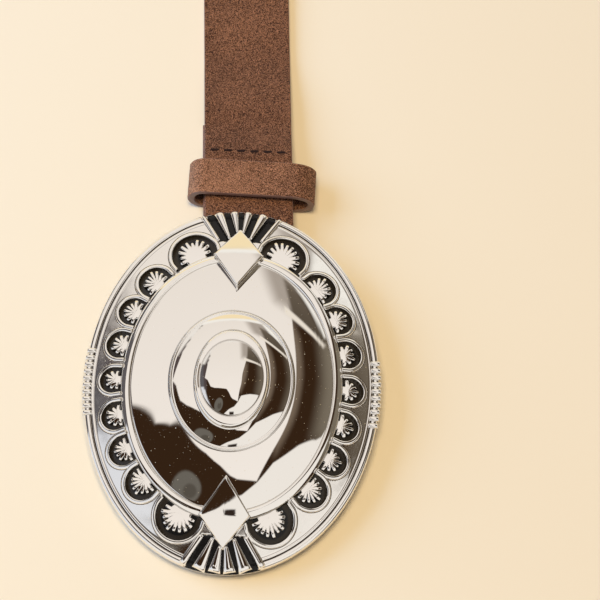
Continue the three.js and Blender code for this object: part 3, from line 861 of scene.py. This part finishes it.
def punch(piece):
    """Punches the holes for the hook through the strap's free end."""
    turn = np.linspace(0, 2 * math.pi, 28, endpoint=False)
    grids = []
    for i in range(HOLES["count"]):
        y = 962.0 - HOLES["from_tip"] - i * HOLES["pitch"]
        ring = np.stack([STRAP_CENTRE + HOLES["radius"] * np.cos(turn), y + HOLES["radius"] * np.sin(turn),
                         np.zeros(len(turn))], -1)
        grids.append(from_belt(np.stack([ring - [0, 0, 2], ring + [0, 0, LEATHER + 2]])))
    cutter = skins("punch", grids, [edge_paint])
    cut = piece.modifiers.new("holes", "BOOLEAN")
    cut.operation = "DIFFERENCE"
    cut.object = cutter
    cut.solver = "EXACT"
    bpy.context.view_layer.update()
    ready = bpy.data.meshes.new_from_object(piece.evaluated_get(bpy.context.evaluated_depsgraph_get()))
    piece.modifiers.remove(cut)
    piece.data = ready
    bpy.data.objects.remove(cutter)


KEEPER = {"left": -10.6, "right": 21.75, "height": 10.4, "wall": 1.8, "length": 9.4, "middle": 55.5,
          "round_left": 4.2, "round_right": 6.3, "turn": math.radians(-4.2)}


def keeper():
    """The keeper: a loop of leather with straight runs above and below the strap and two rounded ends."""
    k = KEEPER
    ends = []
    for x, reach, start in ((k["right"] - k["round_right"], k["round_right"], -90.0),
                            (k["left"] + k["round_left"], k["round_left"], 90.0)):
        turn = np.radians(np.linspace(start, start + 180, 60))
        ends.append(np.stack([x + (reach - k["wall"] / 2) * np.cos(turn), np.zeros(60),
                              k["height"] / 2 + (k["height"] - k["wall"]) / 2 * np.sin(turn)], -1))
    path = []
    for here, there in ((ends[0], ends[1]), (ends[1], ends[0])):
        path.append(here)
        path.append(np.linspace(here[-1], there[0], 60)[1:-1])
    at = np.concatenate(path)
    along = np.roll(at, -1, 0) - np.roll(at, 1, 0)
    along /= np.linalg.norm(along, axis=1)[:, None]
    middle = np.array([(k["left"] + k["right"]) / 2, 0, 0])
    c, s = math.cos(k["turn"]), math.sin(k["turn"])
    turned = np.array([[c, s, 0], [-s, c, 0], [0, 0, 1]])
    at = (at - middle) @ turned + middle + [0, k["middle"], 0]
    side = np.tile(np.array([0.0, 1.0, 0.0]) @ turned, (len(at), 1))
    half = np.full(len(at), k["length"] / 2)
    return band("suede_keeper", at, along @ turned, side, half, k["wall"], lit_suede, loop=True, columns=34)


STITCHES = {"count": 6, "pitch": 3.38, "first": (-3.85, 64.95), "drift": -0.22, "length": 2.6, "radius": 0.4}


def stitches():
    """One row of dark stitches through the two layers: short threads that dip in at both ends."""
    s = STITCHES
    share = np.linspace(-1, 1, 13)
    turn = np.linspace(0, 2 * math.pi, 12, endpoint=False)
    grids = []
    for i in range(s["count"]):
        x, y = s["first"][0] + i * s["pitch"], s["first"][1] + i * s["drift"]
        z = float(eased(UPPER_LAYER, np.array([y]))[0]) + LEATHER / 2
        size = s["radius"] * np.sqrt(1 - (share * 0.92) ** 4)
        points = np.zeros((len(share), len(turn), 3))
        points[..., 0] = x + share[:, None] * s["length"] / 2
        points[..., 1] = y + size[:, None] * np.cos(turn)
        points[..., 2] = z - 0.02 - 0.30 * share[:, None] ** 4 + size[:, None] * 0.7 * np.sin(turn)
        grids.append(from_belt(points))
    return skins("stitches", grids, [thread])


buckle_pieces = [plate(), lips(), suns(), diamonds(), ribs(), reeding(), *back_hardware()]
strap_piece = strap()
punch(strap_piece)
keeper_piece = keeper()
stitch_piece = stitches()
for piece in buckle_pieces:
    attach(piece, "root")
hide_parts("buckle")
for piece in (strap_piece, keeper_piece, stitch_piece):
    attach(piece, "root")
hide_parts("strap")
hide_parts("keeper")

# Table, light and camera

CENTRE = np.array([BUCKLE_AT[0], BUCKLE_AT[1], 15.0])


def table_look(place):
    """Cream table top, a little darker towards the right: painted shade for the light falling off away from the key
    lamp.
    """
    x = place.node("ShaderNodeSeparateXYZ", {}, {0: place}, 0)
    return {"Base Color": x.between(-0.06, 0.12).mix(rgb(246, 238, 222), rgb(243, 234, 217))}


table_top = material("table", table_look, Roughness=0.6)
TABLE_HALF = 3.0
table_corners = np.array([[-1, -1, 0], [1, -1, 0], [1, 1, 0], [-1, 1, 0]]) * TABLE_HALF / MM
table_faces = (np.array([[0, 1, 2, 3]]), np.zeros((0, 3), int))
floor = mesh_object("floor", table_corners, table_faces, [table_top], smooth=False)
floor.location = (0.0, 0.0, -0.00002)


# What the metal mirrors, painted in this order over the dark room. Corners are degrees across (+X) and away (+Y)
# from straight up: [name, corners, colour at the near end, colour at the far end, soft edge in degrees].
ROOM_RADIUS = 2500.0
DARK_ROOM = (54, 36, 22)
ROOM = [
    ("right side", [(46, 30), (100, 40), (100, -40), (60, -20), (44, -6), (48, 12)],
     (112, 102, 88), (132, 122, 106), 9),
    ("left side", [(-100, 2), (-46.5, 3), (-47, 20), (-46, 31), (-54, 40), (-46, 62), (-70, 100), (-100, 90)],
     (100, 96, 98), (86, 80, 78), 1.5),
    ("left front", [(-100, 5), (-54, 6), (-47, 4), (-45, -4), (-42, -12), (-37, -20), (-31, -27), (-25, -34),
                    (-40, -100), (-100, -60)], (250, 249, 248), (226, 228, 234), 1.2),
    ("left top", [(-45, 32), (-33, 46), (-28, 60), (-45, 60), (-58, 42), (-52, 34)],
     (244, 238, 230), (244, 238, 230), 1.5),
    ("left edge", [(-44, -1), (-44, 17), (-39, 31), (-33, 42), (-36, 44), (-45, 32), (-48, 25), (-48, 2)],
     (84, 72, 70), (84, 72, 70), 1.5),
    ("front", [(47, -8.5), (44, -8.5), (33, -10), (18, -14), (12, -21), (5, -26), (-5, -28.5), (-13, -32),
               (-20, -35), (-27, -36), (-34, -30), (-50, -40), (-62, -62), (0, -78), (60, -62), (62, -24), (58, -5)],
     (250, 244, 236), (246, 240, 232), 0.4),
    ("dark mark", [(-4, -36.5), (4, -36.5), (4, -31), (-4, -31)], (50, 40, 34), (50, 40, 34), 0.8),
    ("softbox rim", [(18, -10), (25, 2), (28, 14), (28, 26), (24, 33), (10, 30), (8, 0)],
     (120, 104, 88), (120, 104, 88), 4),
    ("softbox", [(11.5, -20.5), (13.5, -14), (15.5, -8), (19, 0), (20.5, 6), (21.5, 15), (23.5, 25), (25.5, 34),
                 (24, 40), (26, 50), (28, 57), (-27, 58), (-32, 50), (-40, 35), (-45, 20), (-46.5, 15),
                 (-42.5, 11.3), (-40.3, 6.5), (-38, 2), (-32, -1), (-24, -3), (-10, -6.5), (-5, -11), (-1, -16),
                 (2, -18), (8, -19.5)],
     (252, 244, 236), (242, 233, 223), 0.4),
    ("softbox corner", [(17, 37), (30, 34), (32, 60), (13, 60)], (176, 165, 154), (176, 165, 154), 5),
    ("upper right", [(26.5, 34), (48, 28), (50, 30), (40, 39), (33, 45.5), (25, 51)],
     (84, 74, 62), (110, 98, 84), 1.6),
    ("streak", [(21, 33), (27, 32), (40, 29.4), (50, 26.5), (50, 28.2), (40, 31.5), (28, 34.8), (22, 36.5)],
     (244, 234, 220), (244, 234, 220), 0.8),
    ("bright wall", [(-50, 57), (-30, 57), (28, 57), (33, 46.5), (50, 31), (60, 36), (56, 63), (-50, 63)],
     (252, 248, 240), (252, 248, 240), 1.2),
    ("far table", [(-46, 62), (80, 62), (95, 100), (-80, 100)], (255, 234, 190), (255, 230, 180), 1.5),
    ("far wall", [(-60, 75), (80, 75), (95, 100), (-80, 100)], (252, 246, 234), (252, 246, 234), 1.5),
    ("lens", [(-23.5 + 7.5 * math.sin(t), -21.5 + 7 * math.cos(t)) for t in np.linspace(0, 6.02, 24)],
     (108, 103, 95), (108, 103, 95), 0.8),
    ("lens ring", [(-22 + 3.5 * math.sin(t), -23 + 3.2 * math.cos(t)) for t in np.linspace(0, 6.02, 24)],
     (88, 82, 74), (88, 82, 74), 0.8),
]


def room():
    """A dome of light round the buckle that only the metal mirrors. Its colours are laid on in soft-edged shapes:
    each covers a point by the eased distance of the point inside its outline."""
    angle = np.concatenate([np.arange(0.4, 52, 0.36), np.arange(52, 100, 1.8)])
    turn = np.linspace(0, 2 * math.pi, 540, endpoint=False)
    across, away = angle[:, None] * np.sin(turn), angle[:, None] * np.cos(turn)
    light = np.broadcast_to(screen_light(DARK_ROOM), across.shape + (3,)).copy()
    for _, corners, first, last, soft in ROOM:
        corners = np.array(corners, float)
        distance = np.full(across.shape, 1e9)
        for (x0, y0), (x1, y1) in zip(corners, np.roll(corners, -1, 0)):
            along = ((across - x0) * (x1 - x0) + (away - y0) * (y1 - y0)) / ((x1 - x0) ** 2 + (y1 - y0) ** 2)
            along = np.clip(along, 0, 1)
            gap = np.hypot(across - x0 - along * (x1 - x0), away - y0 - along * (y1 - y0))
            distance = np.minimum(distance, gap)
        distance = np.where(in_outline(across, away, corners), distance, -distance)
        cover = np.clip(distance / soft * 0.5 + 0.5, 0, 1)
        cover = (cover * cover * (3 - 2 * cover))[..., None]
        near, far = corners[:, 1].min(), corners[:, 1].max()
        blend = np.clip((away - near) / (far - near), 0, 1)[..., None]
        colour = screen_light(first) * (1 - blend) + screen_light(last) * blend
        light = light * (1 - cover) + colour * cover
    lean = np.radians(angle)[:, None]
    points = np.stack([np.sin(lean) * np.sin(turn), np.sin(lean) * np.cos(turn), np.cos(lean) + 0 * turn], -1)
    glow = bpy.data.materials.new("room_light")
    glow.use_nodes = True
    shader = glow.node_tree.nodes["Principled BSDF"]
    shader.inputs["Base Color"].default_value = (0.0, 0.0, 0.0, 1.0)
    shader.inputs["Specular IOR Level"].default_value = 0.0
    shader.inputs["Emission Strength"].default_value = 1.0
    read = glow.node_tree.nodes.new("ShaderNodeAttribute")
    read.attribute_name = "light"
    glow.node_tree.links.new(read.outputs["Color"], shader.inputs["Emission Color"])
    dome = skins("room", [CENTRE + points * ROOM_RADIUS], [glow])
    colours = np.concatenate([light.reshape(-1, 3), light[:1].mean(1), light[-1:].mean(1)])
    colours = np.concatenate([colours, np.ones((len(colours), 1))], 1)
    dome.data.attributes.new("light", "FLOAT_COLOR", "POINT").data.foreach_set(
        "color", colours.astype(np.float32).ravel())
    glow.cycles.emission_sampling = "NONE"
    dome.visible_camera = False
    dome.visible_diffuse = False
    dome.visible_shadow = False
    return dome


dome = room()
world = bpy.data.worlds.new("warm_fill")
bpy.context.scene.world = world
world.use_nodes = True
world.node_tree.nodes["Background"].inputs["Color"].default_value = (0.163, 0.14, 0.123, 1.0)
world.node_tree.nodes["Background"].inputs["Strength"].default_value = 1.0


def lamp(name, place, aim, width, power, colour):
    """A soft square light that isn't mirrored in the metal."""
    data = bpy.data.lights.new(name, "AREA")
    data.size = width
    data.energy = power
    data.color = colour[:3]
    made = bpy.data.objects.new(name, data)
    bpy.context.scene.collection.objects.link(made)
    made.location = place
    back = np.array(place) - np.array(aim)
    back /= np.linalg.norm(back)
    right = np.cross([0.0, 1.0, 0.0], back)
    right /= np.linalg.norm(right)
    turn = Matrix(np.stack([right, np.cross(back, right), back], 1).tolist())
    made.rotation_euler = turn.to_euler()
    made.visible_glossy = False
    return made


aim = tuple(CENTRE * MM)
# The cool key throws the shadows to the right, the warm fill from above colours them.
key_lamp = lamp("key_lamp", (aim[0] - 1.0, aim[1] + 0.35, 0.66), aim, 1.0, 14.4, (0.44, 0.67, 1.02))
fill_lamp = lamp("fill_lamp", (aim[0] - 0.05, aim[1] - 0.08, 1.4), aim, 0.45, 14.3, (1.0, 0.77, 0.435))

camera_data = bpy.data.cameras.new("camera")
camera_data.lens = 143.22
camera_data.sensor_width = 36.0
camera_data.clip_start = 0.01
camera = bpy.data.objects.new("camera", camera_data)
bpy.context.scene.collection.objects.link(camera)
# Place in millimetres from the middle of the buckle, then the camera's right, up and back.
CAMERA_AT = np.array([3.64, -189.88, 563.7])
CAMERA_AXES = np.array([
    [0.99968, -0.01864, 0.01718],
    [0.01126, 0.93367, 0.35796],
    [-0.02271, -0.35765, 0.93358],
])
pose = Matrix(CAMERA_AXES.T.tolist()).to_4x4()
pose.translation = from_belt(CAMERA_AT) * MM
camera.matrix_world = pose
bpy.context.scene.camera = camera
bpy.context.scene.view_settings.view_transform = "Standard"
